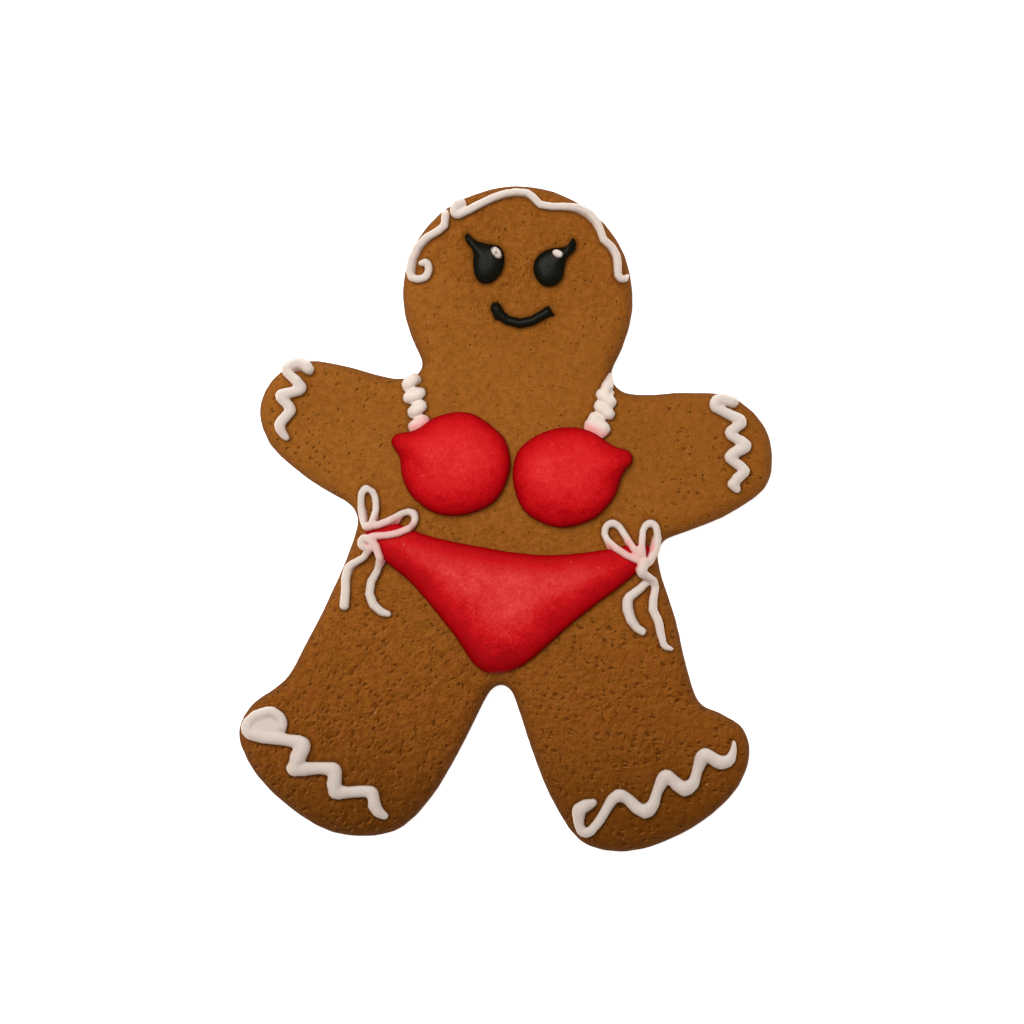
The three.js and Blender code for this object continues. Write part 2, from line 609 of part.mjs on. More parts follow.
for (const [name, { middle, rim, glint }] of Object.entries(EYES)) {
  const eye = { middle: place(middle), rim: splineRim(rim, 34), high: EYE_HIGH, fullness: 2.6 };
  addPiece(name, flood(eye), BLACK);
  const spot = place(glint.middle);
  const blank = toManifold(flood({
    middle: spot,
    rim: ellipseRim(spot, glint.long, glint.wide, glint.turn, 10),
    high: GLINT_HIGH,
    fullness: 2.2,
    ground: (x, y) => crust(x, y) + floodThickness(eye, x, y),
    sink: 1,
  }));
  const dot = blank.subtract(toManifold(flood({ ...eye, grow: GAP })));
  addPiece(name.replace('eye', 'glint'), outerSkin(fromManifold(dot)), WHITE);
}

const piped = {
  hair_line: [HAIR_WIDE, HAIR_LINE],
  hair_curl: [HAIR_WIDE, HAIR_CURL],
  cuff_left_hand: [CUFF_WIDE, LEFT_HAND],
  cuff_right_hand: [CUFF_WIDE, RIGHT_HAND],
  cuff_right_foot: [RIGHT_FOOT_WIDE, RIGHT_FOOT],
};
for (const [name, [width, route]] of Object.entries(piped)) {
  addPiece(name, outerSkin(fromManifold(fuse(beads(route, width)))), WHITE);
}

const padMiddle = place(LEFT_FOOT_PAD.middle);
const pad = lying({
  middle: padMiddle,
  rim: ellipseRim(padMiddle, LEFT_FOOT_PAD.long, LEFT_FOOT_PAD.wide, LEFT_FOOT_PAD.turn, 10),
  high: PAD_HIGH,
  fullness: 4,
});
const leftFoot = fuse(beads(LEFT_FOOT, LEFT_FOOT_WIDE)).add(pad);
addPiece('cuff_left_foot', outerSkin(fromManifold(leftFoot)), WHITE);

const mouth = [MOUTH, ...MOUTH_NUBS].flatMap((route) => beads(route, MOUTH_WIDE, { tip: CUT_END }));
addPiece('mouth', outerSkin(fromManifold(fuse(mouth))), BLACK);

for (const [name, { onTop, ends, turns }] of Object.entries(STRAPS)) {
  const zigzag = turns.slice(1).map((turn, i) => {
    const share = i % 2 === onTop ? 1 : DEEP_STRAND;
    return [[...turns[i], share], [...turn, share]];
  });
  const strands = [...ends, ...zigzag];
  let strap = fuse(strands.flatMap((strand) => beads(strand, STRAP_WIDE)));
  for (const [, cup] of cups) strap = strap.subtract(toManifold(flood({ ...cup, grow: TUCK })));
  addPiece(name, outerSkin(fromManifold(strap)), WHITE);
}

const under = (x, y) => floodThickness(briefs, x, y);
for (const [name, { loops, tails }] of Object.entries(BOWS)) {
  const strands = [
    ...loops.flatMap((loop) => beads(loop, LOOP_WIDE, { under })),
    ...tails.flatMap((tail) => beads(tail, TAIL_WIDE, { under, tip: CUT_END })),
  ];
  addPiece(name, outerSkin(fromManifold(fuse(strands))), WHITE);
}

export default group;
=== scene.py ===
"""A gingerbread figure in flooded and piped icing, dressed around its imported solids.

Metres, in the frame of the solids: +Z up, +Y towards the head, +X to the right as seen from above.
"""

import bmesh
import bpy
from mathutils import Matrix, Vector


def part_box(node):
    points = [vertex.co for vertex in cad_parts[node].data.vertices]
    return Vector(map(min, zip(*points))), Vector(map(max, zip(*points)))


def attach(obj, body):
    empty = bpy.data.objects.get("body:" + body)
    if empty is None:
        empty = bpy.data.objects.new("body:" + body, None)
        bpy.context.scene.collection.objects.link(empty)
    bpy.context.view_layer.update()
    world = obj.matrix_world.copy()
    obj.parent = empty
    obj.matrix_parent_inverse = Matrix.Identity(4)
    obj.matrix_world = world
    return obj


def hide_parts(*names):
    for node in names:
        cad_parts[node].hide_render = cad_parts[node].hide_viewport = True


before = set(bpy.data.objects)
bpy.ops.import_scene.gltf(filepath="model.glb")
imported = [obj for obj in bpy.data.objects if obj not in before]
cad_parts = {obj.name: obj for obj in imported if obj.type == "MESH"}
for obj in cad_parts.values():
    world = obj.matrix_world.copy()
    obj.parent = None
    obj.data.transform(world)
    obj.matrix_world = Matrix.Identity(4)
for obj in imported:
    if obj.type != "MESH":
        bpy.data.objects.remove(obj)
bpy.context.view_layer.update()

MM = 0.001

# Solids that each icing replaces: the size of the mesh made from each, and how often it is eased
RED_PIECES = {"cup_left": (0.24 * MM, 9), "cup_right": (0.24 * MM, 9), "briefs": (0.28 * MM, 9)}
BLACK_PIECES = {"eye_left": (0.17 * MM, 5), "eye_right": (0.17 * MM, 5), "mouth": (0.15 * MM, 4)}
WHITE_PIECES = {
    "glint_left": (0.11 * MM, 3),
    "glint_right": (0.11 * MM, 3),
    "hair_line": (0.18 * MM, 6),
    "hair_curl": (0.17 * MM, 6),
    "cuff_left_hand": (0.19 * MM, 6),
    "cuff_right_hand": (0.19 * MM, 6),
    "cuff_left_foot": (0.22 * MM, 6),
    "cuff_right_foot": (0.22 * MM, 6),
    "strap_left": (0.17 * MM, 4),
    "strap_right": (0.17 * MM, 4),
    "bow_left": (0.17 * MM, 5),
    "bow_right": (0.17 * MM, 5),
}

# The baked body; it is uneven only above its flat underside
COOKIE_MESH = 0.55 * MM
COOKIE_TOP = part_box("cookie")[1].z
CRUMB_RELIEF = {
    "Passes": 4,
    "Lump Size": 11 * MM,
    "Lump Height": 0.45 * MM,
    "Grain Size": 2.6 * MM,
    "Grain Height": 0.16 * MM,
}
OFF_FLOOR = (0.3 * MM, 2 * MM)

# Pores: where they may lie, their widths as shares of their lengths, and their depths of the deepest
PORE_RELIEF = {
    "Spacing": 1.0 * MM,
    "Density": 0.07 / MM**2,
    "Shortest": 0.35 * MM,
    "Longest": 1.0 * MM,
    "Deepest": 0.25 * MM,
    "Grain Angle": 0.95,
    "Seed": 7,
}
PORE_LOWEST = 1.2 * MM
PORE_CLEARANCE = 0.4 * MM
PORE_WIDTHS = (0.28, 0.6)
PORE_DEPTHS = (0.45, 1.0)
LONG_PORE_RARITY = 2.4
RAGGED_SIZE = 0.45 * MM
RAGGED_REACH = 0.5 * MM

# How icing lies: flooded in a broad pool, or piped in a line
RED_RELIEF = {
    "Swell": 0.05 * MM,
    "Reach": 1.6 * MM,
    "Skirt": 0.9 * MM,
    "Bite": 0.3 * MM,
    "Lump Size": 3.5 * MM,
    "Lump Height": 0.14 * MM,
}
PIPED = {"Swell": 0.06 * MM, "Reach": 2 * MM, "Skirt": 0.6 * MM, "Bite": 0.25 * MM}
BLACK_RELIEF = {**PIPED, "Lump Size": 2 * MM, "Lump Height": 0.1 * MM}
WHITE_RELIEF = {**PIPED, "Lump Size": 2.2 * MM, "Lump Height": 0.12 * MM}

# How icing settles: which faces look down, where the pull of the ground fades, and how it is evened out
LOOKING_DOWN = (0.25, 0.7)
REACH_FADE = 0.7
SKIRT_FADE = 0.4
PULL_BLUR = 3
SETTLING_PASSES = 5

# The rim of an icing piece: the points this close to the ground that don't face it
RIM_CLEARANCE = 0.7 * MM
FACING_GROUND = -0.8
EDGE_SOFTENING = 0.3 * MM
EDGE_BLUR = 60

# Points closer than this are one, and the angles past which an edge looks sharp
SAME_POINT = 1e-7
SMOOTH_ALL_OVER = 3
PORE_CREASE = 0.6

# Bands of the figure in which a look changes: along it, across it, out from its middle or up its side
ARMS = (20 * MM, 34 * MM)
PORE_LEGS = (-24 * MM, -2 * MM)
PORE_LEAN = (-6 * MM, 10 * MM)
DENT_LEGS = (-26 * MM, -4 * MM)
DENT_SIDES = (-8 * MM, 8 * MM)
DENT_HEAD = (26 * MM, 34 * MM)
DENT_TOP = (COOKIE_TOP - 4.2 * MM, COOKIE_TOP - 1.8 * MM)
# Painted shade on the crumb: darker towards the legs and feet, up the side and towards the right arm
SHADED_LEGS = (-42 * MM, 0.0)
SHADED_FEET = (-64 * MM, -34 * MM)
SHADED_SIDE = (3.5 * MM, COOKIE_TOP - 0.3 * MM)
SHADED_ARM = (-10 * MM, 45 * MM)
PALE_BELLY = (-10 * MM, 14 * MM)
PALE_FACE = (28 * MM, 55 * MM)
# Painted shade at the briefs' lower tip
SHADED_BRIEFS_TIP = (-30 * MM, -19 * MM)
# Painted shade on the white icing towards the feet
WHITE_FEET_SHADE = (-60 * MM, -20 * MM)

# Distances over which a look fades: painted shade beside piped icing, painted shade down a pore, the dark
# in from the red rim, which is partly painted shade, and the stain from the red
CONTACT_SHADE = (0.1 * MM, 1.1 * MM)
PORE_SHADE = (0.03 * MM, 0.3 * MM)
RED_RIM = (-1.0 * MM, 7.5 * MM)
RED_CALM = (1 * MM, 6 * MM)
RED_BLEED = (0.2 * MM, 2.5 * MM)

# Dents in the baked top: their lean and how far they wander, on each side and on the head
LEFT_DENTS = (0.85, 1.4 * MM)
RIGHT_DENTS = (-0.35, 2.0 * MM)
HEAD_DENTS = (1.5, 0.8 * MM)
DENTS_PER_METRE = (0.57 / MM, 1.02 / MM, 1 / MM)
DENT_WAVE = 1.3 * MM
SMALLEST_DENT = 0.02
# How far a copy of the dents and grain is shifted towards the lamp, to paint light on one edge of each and
# shade on the other
LIT_SHIFT = (-0.25 * MM, 0.28 * MM, 0.0)

# Unevenness of the finishes: the size of its patches, its detail and its roughness
FINE_CRUMB = (0.4 * MM, 2.0, 0.6)
GRAIN = (1.2 * MM, 3.0, 0.65)
WARM_CRUMB = (1.7 * MM, 2.0)
OVEN_PATCH = (17 * MM, 2.0)
DENT_CLUSTER = (7 * MM, 2.0)
RED_FINE = (0.55 * MM, 3.0, 0.65)
RED_MOTTLE = (1.8 * MM, 3.0, 0.6)
RED_CLOUD = (8 * MM, 2.0)
BLACK_FINE = (0.4 * MM, 2.0)
BLACK_CLOUD = (2.5 * MM, 2.0)
WHITE_FINE = (0.5 * MM, 2.0)
WHITE_CLOUD = (4 * MM, 2.0)
WHITE_WEAR = (0.9 * MM, 3.0, 0.7)
PAPER_CLOUD = (0.4, 2.0)

# Bumps too small for the meshes: their height and strength
CRUMB_BUMP = (0.45 * MM, 0.7)
RED_BUMP = (0.14 * MM, 0.6)
BLACK_BUMP = (0.08 * MM, 0.4)
WHITE_BUMP = (0.1 * MM, 0.3)

# Pale specks: the size of their cells, and the share of these that has one
CRUMB_SPECKS = (1.7 * MM, 0.04)
RED_SPECKS = (1.8 * MM, 0.06)

# Photograph: the width of its field at the cookie's edge, its middle, and the lens
FIELD = 199.84 * MM
VIEW_MIDDLE = Vector((1.22, 1.37, 3.6)) * MM
LENS = 250
SENSOR = 36

# Light
WINDOW_PLACE = Vector((-0.27, 0.33, 1.3))
WINDOW_SIZE = 0.85
WINDOW_POWER = 19.5
ROOM_GLOW = 0.32
PAPER_GLOW = 0.75
FLOOR_HALF = 6.0


def srgb(red, green, blue):
    """A colour given as it looks on a screen, as the linear colour that a shader takes."""
    shares = (channel / 255 for channel in (red, green, blue))
    linear = [((s + 0.055) / 1.055) ** 2.4 if s > 0.04045 else s / 12.92 for s in shares]
    return (*linear, 1.0)


# Colours of the crumb; the two tints multiply what they lie on, as painted shade towards the legs and
# feet. The browns for the side, the right arm, beside piped icing, the dents and the pores are painted
# shade, and the lit brown is a painted highlight on one edge of each dent
CRUMB_STOPS = [(0.33, srgb(114, 64, 14)), (0.5, srgb(133, 77, 21)), (0.68, srgb(149, 90, 32))]
WARM_BROWN = srgb(145, 79, 34)
PALE_BROWN = srgb(156, 98, 36)
LEG_SHADE_TINT = (0.63, 0.55, 0.46, 1.0)
FOOT_SHADE_TINT = (0.3, 0.29, 0.05, 1.0)
SIDE_SHADE_BROWN = srgb(90, 51, 10)
ARM_SHADE_BROWN = srgb(110, 58, 8)
CONTACT_SHADE_BROWN = srgb(62, 33, 5)
LIT_BROWN = srgb(156, 97, 45)
DENT_SHADE_BROWN = srgb(80, 38, 3)
DENT_CORE_SHADE = srgb(62, 24, 0)
PORE_SHADE_BROWN = srgb(84, 38, 3)
CRUMB_SPECK = srgb(190, 140, 100)

# Colours of the icing and the paper, in pairs where they vary between two
# The rim reds are dark partly as painted shade where the flood curves down to its edge
RED_RIM_STOPS = [(0.0, srgb(130, 0, 4)), (0.15, srgb(152, 1, 8)), (0.4, srgb(185, 12, 18))]
CUP_REDS = (srgb(203, 32, 35), srgb(209, 50, 51))
BRIEFS_REDS = (srgb(199, 45, 47), srgb(212, 62, 62))
RED_SPECK = srgb(230, 110, 108)
BLACKS = (srgb(11, 10, 5), srgb(20, 18, 10))
# Crest and flank whites: the flanks painted warmer and brighter, a painted glow of light through the icing
CREST_WHITES = (srgb(196, 181, 171), srgb(206, 191, 179))
GLOWING_FLANK_WHITES = (srgb(222, 196, 178), srgb(228, 206, 189))
# The lit white is a painted highlight towards the head, the shaded white and the foot white painted shade
LIT_WHITE = srgb(230, 223, 217)
SHADED_WHITE = srgb(164, 144, 134)
CREAM_WHITE = srgb(228, 211, 196)
FOOT_SHADE_WHITE = srgb(140, 128, 118)
STAINED_WHITE = srgb(228, 116, 120)
WORN_WHITE = srgb(84, 80, 74)
PAPER_WHITES = (srgb(249, 249, 248), srgb(253, 253, 252))


# Node trees


class Wire:
    """An output socket; arithmetic on it adds Math nodes to its tree."""

    def __init__(self, board, socket):
        self.board = board
        self.socket = socket

    def out(self, name):
        """Another output of the same node."""
        return Wire(self.board, self.socket.node.outputs[name])

    def __add__(self, other):
        return self.board.math("ADD", self, other)

    def __sub__(self, other):
        return self.board.math("SUBTRACT", self, other)

    def __rsub__(self, other):
        return self.board.math("SUBTRACT", other, self)

    def __mul__(self, other):
        return self.board.math("MULTIPLY", self, other)

    def __truediv__(self, other):
        return self.board.math("DIVIDE", self, other)

    def __rtruediv__(self, other):
        return self.board.math("DIVIDE", other, self)

    def __pow__(self, other):
        return self.board.math("POWER", self, other)

    def __abs__(self):
        return self.board.math("ABSOLUTE", self)

    def __gt__(self, other):
        return self.board.math("GREATER_THAN", self, other)

    def __lt__(self, other):
        return self.board.math("LESS_THAN", self, other)

    __radd__ = __add__
    __rmul__ = __mul__


class Board:
    """A node tree that is wired up by Python expressions."""

    def __init__(self, tree):
        self.tree = tree

    def node(self, kind, settings=None, sockets=None, out=0):
        """Adds any node: its type, its settings, then the values or wires of its sockets."""
        made = self.tree.nodes.new(kind)
        for name, value in (settings or {}).items():
            if name == "stops":
                self.set_stops(made.color_ramp, value)
            else:
                setattr(made, name, value)
        for key, value in (sockets or {}).items():
            self.plug(made.inputs[key], value)
        return Wire(self, made.outputs[out]) if made.outputs else None

    def plug(self, socket, value):
        """Gives a socket its value, or the wire that brings it."""
        if isinstance(value, Wire):
            self.tree.links.new(value.socket, socket)
        else:
            socket.default_value = value

    @staticmethod
    def set_stops(ramp, stops):
        while len(ramp.elements) < len(stops):
            ramp.elements.new(0.5)
        for element, (place, colour) in zip(ramp.elements, stops):
            element.position = place
            element.color = colour

    def math(self, operation, *values):
        return self.node("ShaderNodeMath", {"operation": operation}, dict(enumerate(values)))

    def vector(self, operation, *values, out=0):
        return self.node("ShaderNodeVectorMath", {"operation": operation}, dict(enumerate(values)), out)

    def scaled(self, vector, share):
        return self.node("ShaderNodeVectorMath", {"operation": "SCALE"}, {0: vector, "Scale": share})

    def parts(self, vector):
        split = self.node("ShaderNodeSeparateXYZ", None, {0: vector})
        return split, split.out("Y"), split.out("Z")

    def ease(self, value, low, high):
        """A smooth step from 0 where value is at low to 1 where it is at high."""
        return self.node(
            "ShaderNodeMapRange",
            {"interpolation_type": "SMOOTHSTEP"},
            {"Value": value, "From Min": low, "From Max": high},
        )

    def noise(self, vector, size, detail=2.0, roughness=0.5):
        """Uneven values around one half, in patches of that size."""
        return self.node(
            "ShaderNodeTexNoise",
            None,
            {"Vector": vector, "Scale": 1 / size, "Detail": detail, "Roughness": roughness},
        )

    def drift(self, vector, size, reach):
        """An uneven shift, by up to about half of that reach in any direction."""
        swing = self.vector("SUBTRACT", self.noise(vector, size).out("Color"), (0.5, 0.5, 0.5))
        return self.scaled(swing, reach)

    def mix(self, share, first, second, blend="MIX"):
        """A colour between two others."""
        settings = {"data_type": "RGBA", "blend_type": blend}
        return self.node("ShaderNodeMix", settings, {0: share, 6: first, 7: second}, out=2)

    def layered(self, colour, layers):
        """Colours laid over another in turn: where each lies, how strong it is there, and its colour."""
        for where, strength, *paint in layers:
            colour = self.mix(where * strength, colour, *paint)
        return colour


# Geometry


def geometry_board(name, inputs):
    """A new Geometry Nodes tree with these named inputs, and the wires that carry them."""
    tree = bpy.data.node_groups.new(name, "GeometryNodeTree")
    tree.interface.new_socket("Geometry", in_out="OUTPUT", socket_type="NodeSocketGeometry")
    for label, kind in {"Geometry": "Geometry", **inputs}.items():
        tree.interface.new_socket(label, in_out="INPUT", socket_type="NodeSocket" + kind)
    board = Board(tree)
    first = board.node("NodeGroupInput")
    return board, {label: first.out(label) for label in ["Geometry", *inputs]}


def deliver(board, geometry, material):
    """Ends a Geometry Nodes tree: every instance made real, and the material on it."""
    whole = board.node("GeometryNodeRealizeInstances", None, {"Geometry": geometry})
    coated = board.node("GeometryNodeSetMaterial", None, {"Geometry": whole, "Material": material})
    board.node("NodeGroupOutput", None, {"Geometry": coated})
    return board.tree


def moved(board, geometry, offset):
    return board.node("GeometryNodeSetPosition", None, {"Geometry": geometry, "Offset": offset})


def blurred(board, value, passes, kind="FLOAT"):
    """A value evened out between neighbouring points, some number of times."""
    sockets = {"Value": value, "Iterations": passes}
    return board.node("GeometryNodeBlurAttribute", {"data_type": kind}, sockets)


def smoothed(board, geometry, passes):
    """Draws every point towards its neighbours, some number of times."""
    place = board.node("GeometryNodeInputPosition")
    eased = blurred(board, place, passes, "FLOAT_VECTOR")
    return board.node("GeometryNodeSetPosition", None, {"Geometry": geometry, "Position": eased})


def swollen(board, geometry, height):
    """Moves every point outwards by a height, which may vary over the surface."""
    return moved(board, geometry, board.scaled(board.node("GeometryNodeInputNormal"), height))


def shape_of(board, thing):
    """The mesh of another object."""
    return board.node("GeometryNodeObjectInfo", None, {"Object": thing}, out="Geometry")


def nearest(board, target, element="FACES"):
    """The closest point of a target; its other output is the distance."""
    return board.node("GeometryNodeProximity", {"target_element": element}, {"Geometry": target})


def distance_to(board, thing):
    """How far every point is from another object."""
    return nearest(board, shape_of(board, thing)).out("Distance")


def stored(board, geometry, values):
    """Keeps values on the points, under the names by which the finishes read them."""
    settings = {"data_type": "FLOAT", "domain": "POINT"}
    for name, value in values.items():
        sockets = {"Geometry": geometry, "Name": name, "Value": value}
        geometry = board.node("GeometryNodeStoreNamedAttribute", settings, sockets)
    return geometry


def rounded_edges(board, geometry, sharpest):
    """Smooth shading, broken only along edges that turn by more than an angle."""
    smooth = board.node("GeometryNodeSetShadeSmooth", None, {"Geometry": geometry})
    turn = board.node("GeometryNodeInputMeshEdgeAngle")
    sharp = {"Geometry": smooth, "Selection": turn > sharpest, "Shade Smooth": False}
    return board.node("GeometryNodeSetShadeSmooth", {"domain": "EDGE"}, sharp)


def crumb_tree():
    """The baked body: facets eased away, with broad lumps and a fine unevenness."""
    board, given = geometry_board("crumb", {
        "Passes": "Int",
        "Lump Size": "Float",
        "Lump Height": "Float",
        "Grain Size": "Float",
        "Grain Height": "Float",
        "Material": "Material",
    })
    place = board.node("GeometryNodeInputPosition")
    _, _, height = board.parts(place)
    off_floor = board.ease(height, *OFF_FLOOR)
    lump = board.noise(place, given["Lump Size"])
    grain = board.noise(place, given["Grain Size"])
    rise = (lump - 0.5) * given["Lump Height"] + (grain - 0.5) * given["Grain Height"]
    eased = smoothed(board, given["Geometry"], given["Passes"])
    lumpy = swollen(board, eased, rise * off_floor)
    return deliver(board, rounded_edges(board, lumpy, SMOOTH_ALL_OVER), given["Material"])


def icing_tree():
    """Soft icing: eased, sunk into what it lies on, and slightly uneven."""
    board, given = geometry_board("icing", {
        "Ground": "Object",
        "Red": "Object",
        "Passes": "Int",
        "Swell": "Float",
        "Reach": "Float",
        "Skirt": "Float",
        "Bite": "Float",
        "Lump Size": "Float",
        "Lump Height": "Float",
        "Material": "Material",
    })
    place = board.node("GeometryNodeInputPosition")
    normal = board.node("GeometryNodeInputNormal")
    ground = shape_of(board, given["Ground"])

    soft = swollen(board, smoothed(board, given["Geometry"], given["Passes"]), given["Swell"])
    touch = nearest(board, ground)
    gap = touch.out("Distance")
    down = board.vector("NORMALIZE", board.vector("SUBTRACT", touch, place))
    facing = board.vector("DOT_PRODUCT", normal, down, out="Value")
    within_reach = 1 - board.ease(gap, given["Reach"] * REACH_FADE, given["Reach"])
    in_skirt = 1 - board.ease(gap, given["Skirt"] * SKIRT_FADE, given["Skirt"])
    pull = board.math("MAXIMUM", board.ease(facing, *LOOKING_DOWN) * within_reach, in_skirt)
    drop = (gap + given["Bite"]) * blurred(board, pull, PULL_BLUR)
    sunk = moved(board, soft, board.scaled(down, drop))
    relaxed = smoothed(board, sunk, SETTLING_PASSES)

    lump = board.noise(place, given["Lump Size"])
    lumpy = swollen(board, relaxed, (lump - 0.5) * given["Lump Height"])

    _, northward, upward = board.parts(normal)
    clear = nearest(board, ground).out("Distance")
    low_side = {"Geometry": lumpy, "Selection": (clear < RIM_CLEARANCE) * (upward > FACING_GROUND)}
    rim = board.node("GeometryNodeSeparateGeometry", {"domain": "POINT"}, low_side)
    edge = nearest(board, rim, "POINTS")
    inward = edge.out("Distance")
    _, edgeward, _ = board.parts(board.vector("SUBTRACT", edge, place))
    # edge_side and northward carry the painted shade and light of the finishes, upward the painted glow on
    # white flanks
    marked = stored(board, lumpy, {
        "inward": inward,
        "edge_side": blurred(board, edgeward / (inward + EDGE_SOFTENING), EDGE_BLUR),
        "upward": upward,
        "northward": northward,
        "red_gap": distance_to(board, given["Red"]),
    })
    return deliver(board, rounded_edges(board, marked, SMOOTH_ALL_OVER), given["Material"])


def pore_tree():
    """Small hollows in the crumb, close together on the legs and drawn out along the dough's grain."""
    board, given = geometry_board("pores", {
        "Covered": "Object",
        "Piped": "Object",
        "Spacing": "Float",
        "Density": "Float",
        "Shortest": "Float",
        "Longest": "Float",
        "Deepest": "Float",
        "Grain Angle": "Float",
        "Seed": "Int",
        "Material": "Material",
    })
    body = given["Geometry"]
    place = board.node("GeometryNodeInputPosition")
    across, along, height = board.parts(place)
    open_top = (height > PORE_LOWEST) * (distance_to(board, given["Covered"]) > PORE_CLEARANCE)
    legs = 1 - board.ease(along, *PORE_LEGS)
    arms = board.ease(abs(across), *ARMS)
    points = board.node("GeometryNodeDistributePointsOnFaces", {"distribute_method": "POISSON"}, {
        "Mesh": body,
        "Selection": open_top,
        "Distance Min": given["Spacing"],
        "Density Max": given["Density"],
        "Density Factor": board.math("MAXIMUM", legs, arms * 0.2 + 0.1),
        "Seed": given["Seed"],
    })

    def drawn(low, high, step):
        limits = {2: low, 3: high, "Seed": step}
        return board.node("FunctionNodeRandomValue", {"data_type": "FLOAT"}, limits, out=1)

    chance = drawn(0.0, 1.0, 1) ** LONG_PORE_RARITY
    long = given["Shortest"] + (given["Longest"] - given["Shortest"]) * chance * (legs * 0.5 + 0.5)
    wide = long * drawn(*PORE_WIDTHS, 2)
    deep = given["Deepest"] * drawn(*PORE_DEPTHS, 3)
    loose = board.ease(across, *PORE_LEAN) * 1.1 + 0.45
    angle = given["Grain Angle"] + drawn(-1.0, 1.0, 4) * loose
    grain = board.node("ShaderNodeCombineXYZ", None, {
        "X": board.math("COSINE", angle),
        "Y": board.math("SINE", angle),
    })
    upright = board.node(
        "FunctionNodeAlignRotationToVector",
        {"axis": "Z"},
        {"Vector": points.out("Normal")},
    )
    turned = board.node(
        "FunctionNodeAlignRotationToVector",
        {"axis": "X", "pivot_axis": "Z"},
        {"Rotation": upright, "Vector": grain},
    )
    ball = board.node("GeometryNodeMeshIcoSphere", None, {"Radius": 0.5, "Subdivisions": 2})
    blanks = board.node("GeometryNodeInstanceOnPoints", None, {
        "Points": points,
        "Instance": ball,
        "Rotation": turned,
        "Scale": board.node("ShaderNodeCombineXYZ", None, {"X": long, "Y": wide, "Z": deep * 2}),
    })
    blanks = board.node("GeometryNodeRealizeInstances", None, {"Geometry": blanks})
    cutters = moved(board, blanks, board.drift(place, RAGGED_SIZE, RAGGED_REACH))
    cut = board.node(
        "GeometryNodeMeshBoolean",
        {"operation": "DIFFERENCE", "solver": "MANIFOLD"},
        {"Mesh 1": body, "Mesh 2": cutters},
    )
    # depth feeds the painted shade down the pores, piped_gap the painted shade beside piped icing
    marked = stored(board, cut, {
        "depth": nearest(board, body).out("Distance"),
        "piped_gap": distance_to(board, given["Piped"]),
    })
    return deliver(board, rounded_edges(board, marked, PORE_CREASE), given["Material"])


# Pieces


def placed(name, data):
    """A new object in the scene, at the origin, with this mesh, light or lens."""
    thing = bpy.data.objects.new(name, data)
    bpy.context.scene.collection.objects.link(thing)
    return thing


def joined(name, sources):
    """One mesh of several pieces, for the trees to measure against."""
    work = bmesh.new()
    for source in sources:
        work.from_mesh(source.data)
    mesh = bpy.data.meshes.new(name)
    work.to_mesh(mesh)
    work.free()
    return placed(name, mesh)


def fine_copy(node, name, voxel):
    """A copy of a solid's mesh, closed up and cut into even squares."""
    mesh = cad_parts[node].data.copy()
    mesh.materials.clear()
    work = bmesh.new()
    work.from_mesh(mesh)
    bmesh.ops.remove_doubles(work, verts=work.verts, dist=SAME_POINT)
    work.to_mesh(mesh)
    work.free()
    piece = placed(name, mesh)
    squares = piece.modifiers.new("squares", "REMESH")
    squares.mode = "VOXEL"
    squares.voxel_size = voxel
    return piece


def shaped(piece, tree, values):
    """Runs a tree on a piece with these inputs, and keeps the result as a plain mesh."""
    modifier = piece.modifiers.new(tree.name, "NODES")
    modifier.node_group = tree
    for item in tree.interface.items_tree:
        if item.in_out == "INPUT" and item.name in values:
            modifier[item.identifier] = values[item.name]
    graph = bpy.context.evaluated_depsgraph_get()
    mesh = bpy.data.meshes.new_from_object(piece.evaluated_get(graph), depsgraph=graph)
    mesh.name = piece.name
    piece.modifiers.clear()
    piece.data = mesh
    return piece


def iced(tree, names, relief, ground, red, finishes):
    """Icing in place of each of these solids, lying on the ground and stained by the red beside it."""
    made = {}
    for node, (voxel, passes) in names.items():
        made[node] = shaped(fine_copy(node, "icing_" + node, voxel), tree, {
            **relief,
            "Passes": passes,
            "Ground": ground,
            "Red": red,
            "Material": finishes[node],
        })
    return made


def finished(piece, node):
    """Hands a piece over: it rides with the cookie and stands for its solid."""
    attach(piece, "root")
    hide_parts(node)


# Finishes


def finish_board(name):
    """A new material, with its object coordinates and its shader."""
    material = bpy.data.materials.new(name)
    material.use_nodes = True
    board = Board(material.node_tree)
    place = board.node("ShaderNodeTexCoord", None, None, out="Object")
    return material, board, place, material.node_tree.nodes["Principled BSDF"]


def coat(board, shader, **values):
    """Sets or wires sockets of a shader, given with underscores for spaces."""
    for name, value in values.items():
        board.plug(shader.inputs[name.replace("_", " ")], value)


def attribute(board, name):
    return board.node("ShaderNodeAttribute", {"attribute_name": name}, None, out="Fac")


def ramp(board, value, stops):
    """A colour that follows a value through these stops."""
    return board.node("ShaderNodeValToRGB", {"stops": stops}, {0: value})


def bump(board, height, distance, strength):
    sockets = {"Height": height, "Distance": distance, "Strength": strength}
    return board.node("ShaderNodeBump", None, sockets)


def strokes(board, place, share, angle, wander):
    """Short uneven marks along a grain: 1 in the middle of each; fewer and smaller where share is low."""
    wavy = board.vector("ADD", place, board.drift(place, DENT_WAVE, wander))
    turned = board.node(
        "ShaderNodeVectorRotate",
        {"rotation_type": "Z_AXIS"},
        {"Vector": wavy, "Angle": -angle},
    )
    drawn_out = board.vector("MULTIPLY", turned, DENTS_PER_METRE)
    flat = {"voronoi_dimensions": "2D"}
    cell = board.node("ShaderNodeTexVoronoi", flat, {"Vector": drawn_out, "Scale": 1.0})
    chance, _, _ = board.parts(cell.out("Color"))
    reach = chance * 0.85 - 0.74 + share * 0.43
    return (1 - board.ease(cell, 0.0, reach)) * (reach > SMALLEST_DENT)


